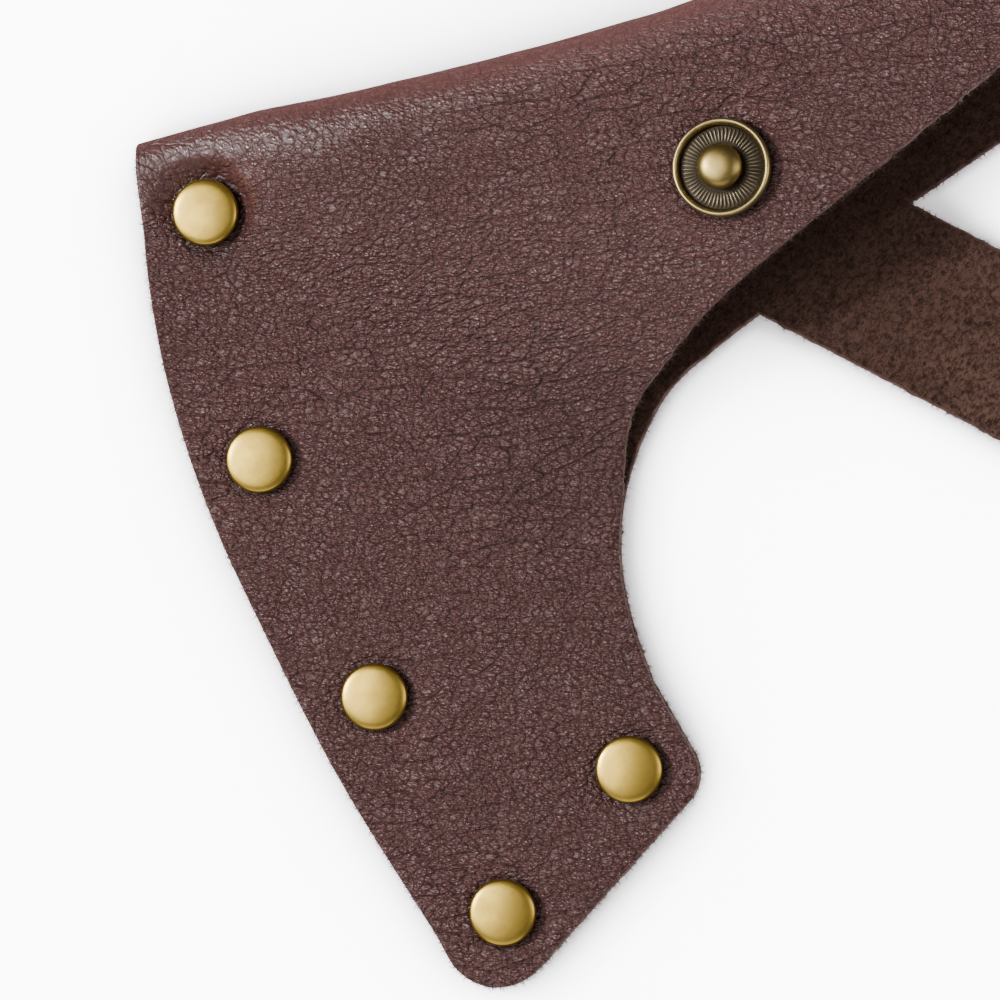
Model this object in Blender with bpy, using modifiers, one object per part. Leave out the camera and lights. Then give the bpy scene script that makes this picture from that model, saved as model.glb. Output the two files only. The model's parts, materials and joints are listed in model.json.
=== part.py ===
"""Leather axe-head sheath with a snap strap.

One piece of 2 mm leather is folded along the top of the axe head. Its front and back panels are riveted
together along the cutting edge and at the heel. A strap, cut in one with the back panel, wraps round the
axe's handle and snaps on a stud in the front panel. The sheath lies on its back with the strap laid out flat.

+X runs along the fold, away from the cutting edge. +Y runs from the heel up to the fold. +Z is up from the
table. The origin is on the table, in the middle of the first rivet.
"""

from math import acos, atan2, cos, hypot, pi, radians, sin, tan

import bmesh
import bpy
import numpy as np
from mathutils import Matrix, Vector
from mathutils.geometry import delaunay_2d_cdt

MM = 0.001
GAP = 0.3 * MM  # between pieces that touch

# Leather and fold. Plan places are measured from the left end of the fold, x to the right, y upwards.
LEATHER = 2.0 * MM
FOLD_LENGTH = 140.0 * MM
FOLD_RADIUS = 3.2 * MM  # outer radius at the cutting edge
FOLD_FLARE = 0.075  # how much the radius grows with each unit along the fold
PLATEAU = 0.16  # the front panel stays at the fold's height out to this slope from the cone's apex
CONTACT = 0.80  # and it has come down onto the back panel at this one

# Cutting edge: how far down it each point is, as a share of the blade's depth, and how far right.
BLADE_DEPTH = 124.9 * MM
CUTTING_EDGE = (
    (0.0, -0.9), (0.125, -3.9), (0.248, -5.1), (0.39, -4.1), (0.529, -1.1), (0.704, 3.7), (0.894, 11.0))
TOE_X = 14.2 * MM
TOE_RADIUS = 7.4 * MM
HEEL = (51.6 * MM, -100.5 * MM)
HEEL_RADIUS = 5.5 * MM

# Concave edge under the beard, and the two panels' own edges on towards the poll.
BEARD = ((47.6, -85.8), (47.0, -77.0), (47.7, -69.2), (50.2, -61.5))
BACK_EDGE = ((54.6, -54.5), (60.0, -49.0), (66.5, -45.6))
FRONT_EDGE = ((53.9, -51.8), (60.5, -46.0), (70.9, -39.5), (91.0, -30.7))
FRONT_END = 9.4 * MM
BACK_END = 19.0 * MM
END_RADIUS = 7.0 * MM

# Rivets: how far down the cutting edge, as a share of the blade's depth, and how far in from it.
RIVET_CAP_R = 4.5 * MM
RIVET_CAP_H = 1.5 * MM
RIVET_TUBE_R = 1.6 * MM
RIVET_PIN_R = 0.8 * MM
EDGE_RIVETS = ((0.0793, 8.9 * MM), (0.3507, 9.0 * MM), (0.628, 9.8 * MM))
TOE_RIVET = (6.3 * MM, 14.3 * MM)  # right of and above the sharp toe corner
HEEL_RIVET = (-9.8 * MM, 4.0 * MM)  # from the sharp heel corner

# Strap
STRAP_WIDTH = 22.4 * MM
STRAP_ROOT = (85.6 * MM, -38.0 * MM)
STRAP_HEADING = radians(-42.7)
ROOT_HEADING = radians(21.0)
STRAP_REACH = 193.0 * MM  # from the root to the snap's axis
STUB = 16.0 * MM  # from the root to the first hinge
PRESS_ARM = 70.0 * MM  # from the last hinge to the snap's axis
ROOT_BEND = radians(4.0)
PRESS_BEND = radians(16.0)
WRAP_HINGES = 5

# Snap fastener
STUD = (75.3 * MM, -23.6 * MM)
STUD_TILT = radians(6.0)
STUD_R = 6.5 * MM
BALL_R = 3.0 * MM
BALL_HALF_H = 1.5 * MM
BALL_TOP = 4.0 * MM
POST_R = 1.5 * MM
SOCKET_PLATE = 0.4 * MM
POST_ROLL = 0.3 * MM
SNAP_CAP_R = 7.5 * MM
MOUTH_CLEARANCE = 0.45 * MM
DISH_FLOOR = 0.95 * MM
RIM_ROUND = 0.4 * MM

UNDERSIDE = RIVET_CAP_H + GAP  # the back panel's height above the table
BACK_TOP = UNDERSIDE + LEATHER
FRONT_TOP = BACK_TOP + GAP + LEATHER
APEX = -(2 * FOLD_RADIUS - 2 * LEATHER - GAP) / (2 * FOLD_FLARE)
SNAP_STACK = BALL_TOP + GAP + POST_ROLL + GAP + SOCKET_PLATE + GAP


def ease(t):
    """0 up to t = 0, 1 from t = 1, and a smooth step between."""
    t = min(max(t, 0.0), 1.0)
    return t * t * (3 - 2 * t)


def spline(points, steps=4):
    """Points along a Catmull-Rom curve through the given ones."""
    ends = [Vector(points[0]) * 2 - Vector(points[1])]
    ends += [Vector(point) for point in points]
    ends += [Vector(points[-1]) * 2 - Vector(points[-2])]
    found = []
    for a, b, c, d in zip(ends, ends[1:], ends[2:], ends[3:]):
        for step in range(steps):
            t = step / steps
            bent = (2 * a - 5 * b + 4 * c - d) * t**2 + (3 * b - a - 3 * c + d) * t**3
            found.append(0.5 * (2 * b + (c - a) * t + bent))
    return found + [ends[-2]]


def fillet(before, corner, after, radius, steps=6):
    """An arc that rounds a corner between two straight runs."""
    before, corner, after = Vector(before), Vector(corner), Vector(after)
    one = (before - corner).normalized()
    two = (after - corner).normalized()
    half = one.angle(two) / 2
    centre = corner + (one + two).normalized() * radius / sin(half)
    start = corner + one * radius / tan(half) - centre
    turn = one.angle_signed(two)
    sweep = (pi - 2 * half) * (1 if turn > 0 else -1)
    return [centre + Matrix.Rotation(sweep * step / steps, 2) @ start for step in range(steps + 1)]


def in_mm(points):
    return [(x * MM, y * MM) for x, y in points]


# Plan shapes
EDGE_POINTS = spline([(x * MM, -share * BLADE_DEPTH) for share, x in CUTTING_EDGE])
TOE = (TOE_X, -BLADE_DEPTH)


def edge_x(y):
    """Where the cutting edge is at a height y."""
    return float(np.interp(-y, [-point.y for point in EDGE_POINTS], [point.x for point in EDGE_POINTS]))


def blade_outline():
    """From the fold down the cutting edge, round the toe and the heel, and up the beard."""
    beard = in_mm(BEARD)
    toe = fillet(EDGE_POINTS[-1], TOE, HEEL, TOE_RADIUS)
    heel = fillet(TOE, HEEL, beard[0], HEEL_RADIUS)
    return EDGE_POINTS + toe + heel, beard


RIVETS = [(edge_x(-share * BLADE_DEPTH) + inset, -share * BLADE_DEPTH) for share, inset in EDGE_RIVETS]
RIVETS.append((TOE[0] + TOE_RIVET[0], TOE[1] + TOE_RIVET[1]))
RIVETS.append((HEEL[0] + HEEL_RIVET[0], HEEL[1] + HEEL_RIVET[1]))

# The strap's own directions. Its hinges are turned a little so that it comes back onto the stud.
ROOT = Vector(STRAP_ROOT)
ALONG = Vector((cos(STRAP_HEADING), sin(STRAP_HEADING)))
ACROSS = Vector((-sin(STRAP_HEADING), cos(STRAP_HEADING)))
TO_STUD = Vector(STUD) - ROOT
SKEW = atan2(TO_STUD.dot(ACROSS), STRAP_REACH - TO_STUD.dot(ALONG))
HINGE_HEADING = STRAP_HEADING - SKEW
SWING = Vector((cos(HINGE_HEADING), sin(HINGE_HEADING), 0.0))
AXIS = SWING.cross(Vector((0.0, 0.0, 1.0)))
WRAP_BEND = (pi + STUD_TILT - ROOT_BEND - PRESS_BEND) / WRAP_HINGES


def fold_radius(x):
    return FOLD_RADIUS + FOLD_FLARE * max(x, 0.0)


def fold_rise(x):
    """How far the front panel stands above its riveted height, along the top of the fold."""
    pressed = 1.2 * MM * np.exp(-(((x - RIVETS[0][0]) / (9 * MM)) ** 2))
    return float(2 * fold_radius(x) - 2 * LEATHER - GAP - pressed)


def cone_rise(x, y):
    """The same over the whole front panel, before it is pressed in at the first rivet and the stud."""
    slope = (-y - fold_radius(x)) / (x - APEX)
    return fold_rise(x) * (1 - ease((slope - PLATEAU) / (CONTACT - PLATEAU)))


STUD_HEIGHT = FRONT_TOP + cone_rise(*STUD)


def front_height(x, y):
    """The height of the front panel's grain side."""
    first = hypot(x - RIVETS[0][0], y - RIVETS[0][1])
    clamped = 1 - ease((first - RIVET_CAP_R - GAP) / (2.8 * MM))
    clamped *= ease((-y - fold_radius(x)) / (1.5 * MM))
    height = FRONT_TOP + cone_rise(x, y) * (1 - clamped)
    seat = 1 - ease((hypot(x - STUD[0], y - STUD[1]) - STUD_R - GAP) / (6 * MM))
    level = STUD_HEIGHT + tan(STUD_TILT) * ((x - STUD[0]) * SWING.x + (y - STUD[1]) * SWING.y)
    return height + (level - height) * seat


def quarter(x):
    """The length of a quarter turn of the fold, along the middle of the leather."""
    return (fold_radius(x) - LEATHER / 2) * pi / 2


def unfold(x, y, side):
    """From a place in plan on the front (side 1) or back (side -1) to the flat blank."""
    radius = fold_radius(x)
    if -y < radius:
        return Vector((x, side * quarter(x) * acos(1 + y / radius) * 2 / pi))
    return Vector((x, side * (quarter(x) - y - radius)))


def fold(x, across):
    """From the flat blank to the grain side's place in space."""
    radius = fold_radius(x)
    centre = UNDERSIDE + radius
    turn = abs(across) / quarter(x) * pi / 2
    y = -radius * (1 - cos(turn)) if turn < pi / 2 else -radius - (abs(across) - quarter(x))
    if across < 0:
        return Vector((x, y, centre - radius * sin(min(turn, pi / 2))))
    if turn < pi / 2:
        return Vector((x, y, centre + (FRONT_TOP + fold_rise(x) - centre) * sin(turn)))
    return Vector((x, y, front_height(x, y)))


def strap_corner(distance, side):
    """A corner of the strap in plan, on the hinge line that crosses its middle at this distance."""
    slip = side * STRAP_WIDTH / 2 * tan(SKEW)
    return ROOT + ALONG * (distance + slip) + ACROSS * side * STRAP_WIDTH / 2


def blank_outline():
    """The blank's outline: the back panel from the fold's left end to its right one, then the front panel."""
    blade, beard = blade_outline()
    root_half = STRAP_WIDTH / 2 / cos(STRAP_HEADING + pi / 2 - ROOT_HEADING)
    crease = Vector((cos(ROOT_HEADING), sin(ROOT_HEADING))) * root_half
    lower, upper = ROOT - crease, ROOT + crease
    stub = [strap_corner(STUB - GAP / 2, -1), strap_corner(STUB - GAP / 2, 1)]
    end_x = FOLD_LENGTH
    back = blade + spline(beard + in_mm(BACK_EDGE) + [tuple(lower)]) + stub
    end_low = (end_x - 15 * MM, -BACK_END - 5 * MM)
    back += spline([tuple(upper), (upper.x + 13 * MM, upper.y + 4.5 * MM), end_low])
    back += fillet(end_low, (end_x, -BACK_END), (end_x, 0.0), END_RADIUS)
    front = blade + spline(beard + in_mm(FRONT_EDGE) + [(end_x - 12 * MM, -FRONT_END - 5 * MM)])
    front += fillet((end_x - 12 * MM, -FRONT_END - 5 * MM), (end_x, -FRONT_END), (end_x, 0.0), END_RADIUS / 2)
    outline = [unfold(point[0], point[1], -1) for point in back]
    turns = [step / 6 * quarter(end_x) for step in range(-6, 7)]
    low, high = outline[-1].y, unfold(front[-1][0], front[-1][1], 1).y
    outline += [Vector((end_x, turn)) for turn in turns if low + 1 * MM < turn < high - 1 * MM]
    outline += [unfold(point[0], point[1], 1) for point in reversed(front[1:])]
    return outline


# Scene, materials and shared ways of making a piece
for old in list(bpy.data.objects):
    bpy.data.objects.remove(old)


def new_collection(name):
    made = bpy.data.collections.new(name)
    bpy.context.scene.collection.children.link(made)
    return made


PARTS = new_collection("axe_sheath")
CUTTERS = new_collection("cutters")
DATUM = bpy.data.objects.new("first_rivet", None)
DATUM.location = (-RIVETS[0][0], -RIVETS[0][1], 0.0)
PARTS.objects.link(DATUM)


def principled(name, colour, roughness, metallic):
    material = bpy.data.materials.new(name)
    material.use_nodes = True
    shader = material.node_tree.nodes["Principled BSDF"]
    shader.inputs["Base Color"].default_value = (*colour, 1.0)
    shader.inputs["Roughness"].default_value = roughness
    shader.inputs["Metallic"].default_value = metallic
    return material


GRAIN = principled("grain_leather", (0.13, 0.068, 0.062), 0.5, 0.0)
SUEDE = principled("suede_leather", (0.06, 0.032, 0.024), 0.95, 0.0)
BRASS = principled("antique_brass", (0.40, 0.31, 0.14), 0.35, 1.0)
DARK_BRASS = principled("dark_brass", (0.16, 0.12, 0.06), 0.4, 1.0)
STEEL = principled("spring_steel", (0.5, 0.5, 0.5), 0.3, 1.0)


def add(name, data, material, place=None, collection=None):
    """An object from a mesh or curve, placed in the sheath's plan and held by the datum."""
    made = bpy.data.objects.new(name, data)
    (collection or PARTS).objects.link(made)
    data.materials.append(material)
    made.parent = DATUM
    made.matrix_local = place or Matrix.Identity(4)
    return made


def to_mesh(source, material):
    """The evaluated object as a plain mesh object in its place. The source is removed."""
    bpy.context.view_layer.update()
    data = bpy.data.meshes.new_from_object(source.evaluated_get(bpy.context.evaluated_depsgraph_get()))
    built = bmesh.new()
    built.from_mesh(data)
    bmesh.ops.remove_doubles(built, verts=built.verts, dist=0.001 * MM)
    built.to_mesh(data)
    built.free()
    data.materials.clear()
    name, place = source.name, source.matrix_local.copy()
    bpy.data.objects.remove(source)
    return add(name, data, material, place)


def turned(name, profile, material, place, steps=32):
    """A turned piece. Its profile runs down the outer side and is closed on itself or ends on the axis."""
    data = bpy.data.meshes.new(name)
    ring = profile[0][0] > 0
    count = len(profile)
    edges = [(i, (i + 1) % count) for i in range(count if ring else count - 1)]
    data.from_pydata([(radius, 0.0, height) for radius, height in profile], edges, [])
    made = add(name, data, material, place)
    screw = made.modifiers.new("turn", "SCREW")
    screw.steps = screw.render_steps = steps
    screw.use_merge_vertices = True
    screw.merge_threshold = 0.001 * MM
    return made


def drill(target, name, radius, length, place):
    """A round hole, made by a cylinder centred on the place."""
    built = bmesh.new()
    bmesh.ops.create_cone(built, cap_ends=True, segments=24, radius1=radius, radius2=radius, depth=length)
    data = bpy.data.meshes.new(name)
    built.to_mesh(data)
    built.free()
    cutter = add(name, data, target.data.materials[0], place, CUTTERS)
    cutter.hide_render = True
    cutter.display_type = "WIRE"
    cut = target.modifiers.new(name, "BOOLEAN")
    cut.object = cutter
    cut.solver = "EXACT"


def upright(x, y, z):
    return Matrix.Translation((x, y, z))


# Sheath body: a flat blank, cut to shape, folded over and given its thickness
outline = blank_outline()
inner = []


def inside(point, margin):
    """Is a point in the blank, and at least the margin from its edge?"""
    crossings = 0
    for a, b in zip(outline, outline[1:] + outline[:1]):
        if (a.y > point.y) != (b.y > point.y):
            crossings += point.x < a.x + (point.y - a.y) / (b.y - a.y) * (b.x - a.x)
        t = min(max((point - a).dot(b - a) / max((b - a).length_squared, 1e-12), 0.0), 1.0)
        if (point - a - (b - a) * t).length < margin:
            return False
    return crossings % 2 == 1


COLUMN = 5.5 * MM
FOLD_STEPS = 7
for column in range(int((FOLD_LENGTH + 20 * MM) / COLUMN)):
    x = -10 * MM + column * COLUMN
    rows = [quarter(x) * step / FOLD_STEPS for step in range(-FOLD_STEPS, FOLD_STEPS + 1)]
    rows += [quarter(x) + row * COLUMN * 0.9 for row in range(1, 25)]
    rows += [-quarter(x) - row * 4 * COLUMN for row in range(1, 6)]
    inner += [Vector((x, row)) for row in rows if inside(Vector((x, row)), 1.6 * MM)]
for seat_x, seat_y, radius in ((*RIVETS[0], RIVET_CAP_R), (*STUD, STUD_R)):
    for ring in (radius + 0.6 * MM, radius + 2.6 * MM):
        for step in range(16):
            spot = (seat_x + ring * cos(step * pi / 8), seat_y + ring * sin(step * pi / 8))
            if spot[1] < -fold_radius(spot[0]):
                inner.append(unfold(*spot, 1))

loop = list(range(len(outline)))
points, _, triangles, _, _, _ = delaunay_2d_cdt(outline + inner, [], [loop], 1, 0.01 * MM)
blank = bpy.data.meshes.new("sheath_body")
folded = [fold(point.x, point.y) for point in points]
blank.from_pydata(folded, [], [tuple(reversed(face)) for face in triangles])
sheath = add("sheath_body", blank, GRAIN)
leather = sheath.modifiers.new("leather", "SOLIDIFY")
leather.thickness = LEATHER
leather.offset = -1.0
leather.use_even_offset = True
sheath = to_mesh(sheath, GRAIN)
for number, (x, y) in enumerate(RIVETS, 1):
    drill(sheath, f"rivet_hole_{number}", RIVET_TUBE_R + GAP, 3 * LEATHER, upright(x, y, BACK_TOP))

# Rivets: a tube with a wide foot under the back panel, and a cap whose pin is pressed into the tube
CAP_PROFILE = [(0.0, 1.0), (0.45, 0.97), (0.8, 0.88), (0.94, 0.72), (1.0, 0.42), (0.97, 0.1), (0.93, 0.0)]
FOOT_PROFILE = [(0.95, 1.0), (1.0, 0.6), (0.94, 0.2), (0.8, 0.0), (0.0, 0.0)]
for number, (x, y) in enumerate(RIVETS, 1):
    bore_floor = UNDERSIDE + 0.1 * MM
    tube = [(0.0, bore_floor), (RIVET_PIN_R + GAP, bore_floor), (RIVET_PIN_R + GAP, FRONT_TOP)]
    tube += [(RIVET_TUBE_R, FRONT_TOP), (RIVET_TUBE_R, RIVET_CAP_H)]
    tube += [(share * RIVET_CAP_R, height * RIVET_CAP_H) for share, height in FOOT_PROFILE]
    turned(f"rivet_tube_{number}", tube, BRASS, upright(x, y, 0.0), 24)
    cap = [(share * RIVET_CAP_R, FRONT_TOP + GAP + height * RIVET_CAP_H) for share, height in CAP_PROFILE]
    cap += [(RIVET_PIN_R, FRONT_TOP + GAP), (RIVET_PIN_R, bore_floor + GAP), (0.0, bore_floor + GAP)]
    turned(f"rivet_cap_{number}", cap, BRASS, upright(x, y, 0.0), 24)

# Stud in the front panel: a dish with a raised rim and a ball, held by an eyelet from the flesh side
heading = Matrix.Rotation(HINGE_HEADING, 4, "Z")
stud_place = upright(*STUD, STUD_HEIGHT) @ Matrix.Rotation(STUD_TILT, 4, AXIS) @ heading
drill(sheath, "stud_hole", POST_R + GAP, 3 * LEATHER, stud_place @ upright(0.0, 0.0, -LEATHER / 2))
ball_middle = BALL_TOP - BALL_HALF_H
neck = BALL_R * 0.75
stud = []
for angle in range(0, 121, 12):
    stud.append((BALL_R * sin(radians(angle)), ball_middle + BALL_HALF_H * cos(radians(angle))))
stud += [(neck, DISH_FLOOR), (STUD_R - 0.8 * MM, DISH_FLOOR)]
for angle in range(180, -1, -30):
    reach = STUD_R - RIM_ROUND + RIM_ROUND * cos(radians(angle))
    stud.append((reach, 1.4 * MM + RIM_ROUND * sin(radians(angle))))
stud += [(STUD_R, 0.5 * MM), (STUD_R - 0.2 * MM, GAP), (POST_R + GAP, GAP)]
stud += [(POST_R + GAP, ball_middle), (0.0, ball_middle)]
turned("snap_stud", stud, DARK_BRASS, stud_place, 40)
flesh = -LEATHER - GAP
eyelet_top = ball_middle - GAP
flange = 0.8 * MM
eyelet = [(0.0, eyelet_top), (POST_R, eyelet_top), (POST_R, flesh), (5 * MM, flesh), (5 * MM, flesh - flange)]
eyelet += [(POST_R / 2, flesh - flange), (POST_R / 2, eyelet_top - 0.6 * MM), (0.0, eyelet_top - 0.6 * MM)]
turned("stud_eyelet", eyelet, BRASS, stud_place, 32)


# Strap. It wraps round in equal bends, and their spacing and the first one's place close it on the stud.
def strap_hinges():
    """How far from the root each hinge is: the root's, the wrap's and the snap's."""
    headings = [ROOT_BEND + WRAP_BEND * step for step in range(WRAP_HINGES + 1)]
    last = headings[-1]
    press = STRAP_REACH - PRESS_ARM
    seat = Vector((TO_STUD.dot(SWING.to_2d()), STUD_HEIGHT))
    seat += SNAP_STACK * Vector((-sin(STUD_TILT), cos(STUD_TILT)))
    arm = PRESS_ARM * Vector((cos(pi + STUD_TILT), sin(pi + STUD_TILT)))
    start = Vector((STUB, BACK_TOP))
    wanted = seat - arm - start + STUB * Vector((cos(headings[0]), sin(headings[0])))
    wanted -= press * Vector((cos(last), sin(last)))
    between = sum((Vector((cos(angle), sin(angle))) for angle in headings[1:-1]), Vector((0.0, 0.0)))
    lead = Vector((cos(headings[0]) - cos(last), sin(headings[0]) - sin(last)))
    each = between - (WRAP_HINGES - 1) * Vector((cos(last), sin(last)))
    first, pitch = np.linalg.solve(np.array([lead, each]).T, np.array(wanted))
    return [STUB] + [first + pitch * step for step in range(WRAP_HINGES)] + [press]


HINGES = strap_hinges()
BENDS = [f"strap_bend_{step}" for step in range(1, WRAP_HINGES)]
STRAP_NAMES = ["strap_root"] + BENDS + ["strap_end", "strap_tip"]
TIP_ROUND = 24


def strap_segment(name, start, end):
    """The strap from one hinge line to the next, or to its rounded tip. Its origin is on its first hinge."""
    slope = tan(SKEW)
    half = STRAP_WIDTH / 2 / cos(SKEW)
    low = GAP / 2
    corners = [(low, low * slope + half), (low, low * slope - half)]
    if end is None:
        snap = Vector((PRESS_ARM, PRESS_ARM * slope))
        for step in range(TIP_ROUND + 1):
            angle = SKEW - pi / 2 + pi * step / TIP_ROUND
            corners.append(tuple(snap + STRAP_WIDTH / 2 * Vector((cos(angle), sin(angle)))))
    else:
        high = (end - start) * cos(SKEW) - GAP / 2
        corners += [(high, high * slope - half), (high, high * slope + half)]
    curve = bpy.data.curves.new(name, "CURVE")
    curve.dimensions = "2D"
    curve.fill_mode = "BOTH"
    curve.extrude = LEATHER / 2
    line = curve.splines.new("POLY")
    line.points.add(len(corners) - 1)
    for point, corner in zip(line.points, corners):
        point.co = (*corner, 0.0, 1.0)
    line.use_cyclic_u = True
    spot = ROOT + ALONG * start
    place = upright(spot.x, spot.y, BACK_TOP) @ heading
    made = to_mesh(add(name, curve, SUEDE, place @ upright(0.0, 0.0, -LEATHER / 2)), SUEDE)
    made.data.transform(upright(0.0, 0.0, -LEATHER / 2))
    made.matrix_local = place
    return made


for name, start, end in zip(STRAP_NAMES, HINGES, HINGES[1:] + [None]):
    tip = strap_segment(name, start, end)

# Snap in the strap's tip: a cap under the grain side, a socket on the flesh side and its spring ring
snap = ROOT + ALONG * STRAP_REACH
snap_place = upright(snap.x, snap.y, BACK_TOP) @ heading
drill(tip, "snap_hole", POST_R + GAP, 3 * LEATHER, snap_place @ upright(0.0, 0.0, -LEATHER / 2))
plate_top = GAP + SOCKET_PLATE
post_top = plate_top + GAP + POST_ROLL
cap_under = -LEATHER - GAP
cap = [(0.0, post_top), (2.2 * MM, post_top), (2.2 * MM, plate_top + GAP), (POST_R, plate_top + GAP)]
cap += [(POST_R, cap_under)]
cap += [(share * SNAP_CAP_R, cap_under - height * RIVET_CAP_H) for share, height in reversed(CAP_PROFILE)]
turned("snap_cap", cap, BRASS, snap_place, 40)
mouth = SNAP_STACK - DISH_FLOOR - GAP
mouth_r = BALL_R + MOUTH_CLEARANCE
drum = STUD_R - 1.3 * MM
wall = drum - 1.0 * MM
socket = [(mouth_r, mouth), (drum - GAP, mouth), (drum, mouth - GAP), (drum, plate_top + 0.3 * MM)]
flange = STUD_R - 0.2 * MM
socket += [(flange, plate_top), (flange, GAP), (POST_R + GAP, GAP), (POST_R + GAP, plate_top)]
socket += [(wall, plate_top), (wall, mouth - 0.5 * MM), (mouth_r, mouth - 0.5 * MM)]
turned("snap_socket", socket, BRASS, snap_place, 40)
ring = bpy.data.curves.new("socket_spring", "CURVE")
ring.dimensions = "3D"
ring.bevel_depth = 0.25 * MM
ring.bevel_resolution = 2
ring.use_fill_caps = True
RING_POINTS = 24
RING_SPLIT = radians(14.0)
wire = ring.splines.new("POLY")
wire.points.add(RING_POINTS - 1)
for step, point in enumerate(wire.points):
    angle = RING_SPLIT + (2 * pi - 2 * RING_SPLIT) * step / (RING_POINTS - 1)
    ring_r = mouth_r + 0.15 * MM
    point.co = (ring_r * cos(angle), ring_r * sin(angle), mouth - 0.5 * MM - GAP - 0.25 * MM, 1.0)
add("socket_spring", ring, STEEL, snap_place)

bpy.context.view_layer.update()
for made in PARTS.objects:
    if made.type == "MESH":
        made.data.shade_smooth()
        made.data.set_sharp_from_angle(angle=radians(35.0))
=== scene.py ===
"""A leather sheath for a felling axe's head: folded leather, brass rivets, and a strap that snaps shut."""

import json

from math import cos, pi, radians, sin, tan

import bmesh
import bpy
import numpy as np
from mathutils import Matrix, Vector
from mathutils.geometry import delaunay_2d_cdt


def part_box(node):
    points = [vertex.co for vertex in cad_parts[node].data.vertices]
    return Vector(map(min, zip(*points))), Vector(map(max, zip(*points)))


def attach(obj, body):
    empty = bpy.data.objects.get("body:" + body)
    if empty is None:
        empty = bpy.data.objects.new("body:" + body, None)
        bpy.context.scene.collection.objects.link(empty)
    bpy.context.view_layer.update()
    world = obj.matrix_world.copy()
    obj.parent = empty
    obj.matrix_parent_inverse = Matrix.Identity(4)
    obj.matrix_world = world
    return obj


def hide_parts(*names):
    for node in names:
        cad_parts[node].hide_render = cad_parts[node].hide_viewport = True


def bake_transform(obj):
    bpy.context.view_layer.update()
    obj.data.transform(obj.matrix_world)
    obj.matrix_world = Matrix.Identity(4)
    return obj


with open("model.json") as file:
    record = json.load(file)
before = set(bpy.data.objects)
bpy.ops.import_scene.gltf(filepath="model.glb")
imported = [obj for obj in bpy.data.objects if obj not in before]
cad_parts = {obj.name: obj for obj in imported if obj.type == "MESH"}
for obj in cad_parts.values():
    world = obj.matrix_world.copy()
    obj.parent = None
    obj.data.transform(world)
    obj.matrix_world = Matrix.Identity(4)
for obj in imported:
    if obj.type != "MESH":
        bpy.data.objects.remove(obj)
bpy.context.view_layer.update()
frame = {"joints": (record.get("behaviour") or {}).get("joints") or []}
MM = 0.001

# ---------------------------------------------------------------------------------------------------------
# Sheath body. One piece of 2 mm full-grain leather, cut flat, folded over along the top of the axe head and
# riveted along the cutting edge. The grain side is pebbled and faces out, and the flesh side is brown suede.
# ---------------------------------------------------------------------------------------------------------
LEATHER = 2.0 * MM
GAP = 0.3 * MM
UNDERSIDE = 1.8 * MM
BACK_TOP = UNDERSIDE + LEATHER
FRONT_TOP = BACK_TOP + GAP + LEATHER
FOLD_LENGTH = 140.0 * MM
FOLD_RADIUS = 3.2 * MM
FOLD_FLARE = 0.075
APEX = -(2 * FOLD_RADIUS - 2 * LEATHER - GAP) / (2 * FOLD_FLARE)
PLATEAU = 0.16
CONTACT = 0.80
BLADE_DEPTH = 124.9 * MM
CUTTING_EDGE = (
    (0.0, -0.9), (0.125, -3.9), (0.248, -5.1), (0.39, -4.1), (0.529, -1.1), (0.704, 3.7), (0.894, 11.0))
TOE = (14.2 * MM, -BLADE_DEPTH)
TOE_RADIUS = 7.4 * MM
HEEL = (51.6 * MM, -100.5 * MM)
HEEL_RADIUS = 5.5 * MM
BEARD = ((47.6, -85.8), (47.0, -77.0), (47.7, -69.2), (50.2, -61.5))
BACK_EDGE = ((54.6, -54.5), (60.0, -49.0), (66.5, -45.6))
FRONT_EDGE = ((53.9, -51.8), (60.5, -46.0), (70.9, -39.5), (91.0, -30.7))
FRONT_END = 9.4 * MM
BACK_END = 19.0 * MM
END_RADIUS = 7.0 * MM
FIRST_RIVET = (5.980 * MM, -9.9046 * MM)  # the frame's origin, in the sheath's own plan
STUD_R = 6.5 * MM
STRAP_WIDTH = 22.4 * MM
STRAP_ROOT = Vector((85.6 * MM, -38.0 * MM))
STRAP_HEADING = radians(-42.7)
ROOT_HEADING = radians(21.0)
STUB = 8.0 * MM  # how far past its root the strap still belongs to this piece
ALONG = Vector((cos(STRAP_HEADING), sin(STRAP_HEADING)))
ACROSS = Vector((-sin(STRAP_HEADING), cos(STRAP_HEADING)))
PLAN_TO_FRAME = Vector((-FIRST_RIVET[0], -FIRST_RIVET[1]))
BLANK_SPAN = 300 * MM  # the flat blank's UV square

joints = {joint["name"]: joint for joint in frame["joints"]}


def node_middle(name):
    """The middle of a CAD node in the sheath's own plan."""
    low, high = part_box(name)
    return (Vector(low) + Vector(high)).to_2d() / 2 - PLAN_TO_FRAME


RIVETS = [node_middle(f"rivet_cap_{number}") for number in range(1, 6)]
STUD = Vector((75.3 * MM, -23.6 * MM))
SNAP = node_middle("socket_spring")
STUD_TILT = radians(6.0)
hinge_axis = Vector(joints["strap_wrap"]["axis"])
SWING = Vector((0.0, 0.0, 1.0)).cross(hinge_axis)


def ease(t):
    t = np.clip(t, 0.0, 1.0)
    return t * t * (3 - 2 * t)


def ripple(x, y, size, seed):
    """Smooth noise between -1 and 1, from a seeded lattice of this spacing."""
    lattice = np.random.default_rng(seed).uniform(-1, 1, (64, 64))
    x, y = np.asarray(x) / size + 20.0, np.asarray(y) / size + 20.0
    column, row = np.floor(x).astype(int), np.floor(y).astype(int)
    right, up = ease(x - column), ease(y - row)
    a, b = lattice[column % 64, row % 64], lattice[(column + 1) % 64, row % 64]
    c, d = lattice[column % 64, (row + 1) % 64], lattice[(column + 1) % 64, (row + 1) % 64]
    return (a * (1 - right) + b * right) * (1 - up) + (c * (1 - right) + d * right) * up


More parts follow.
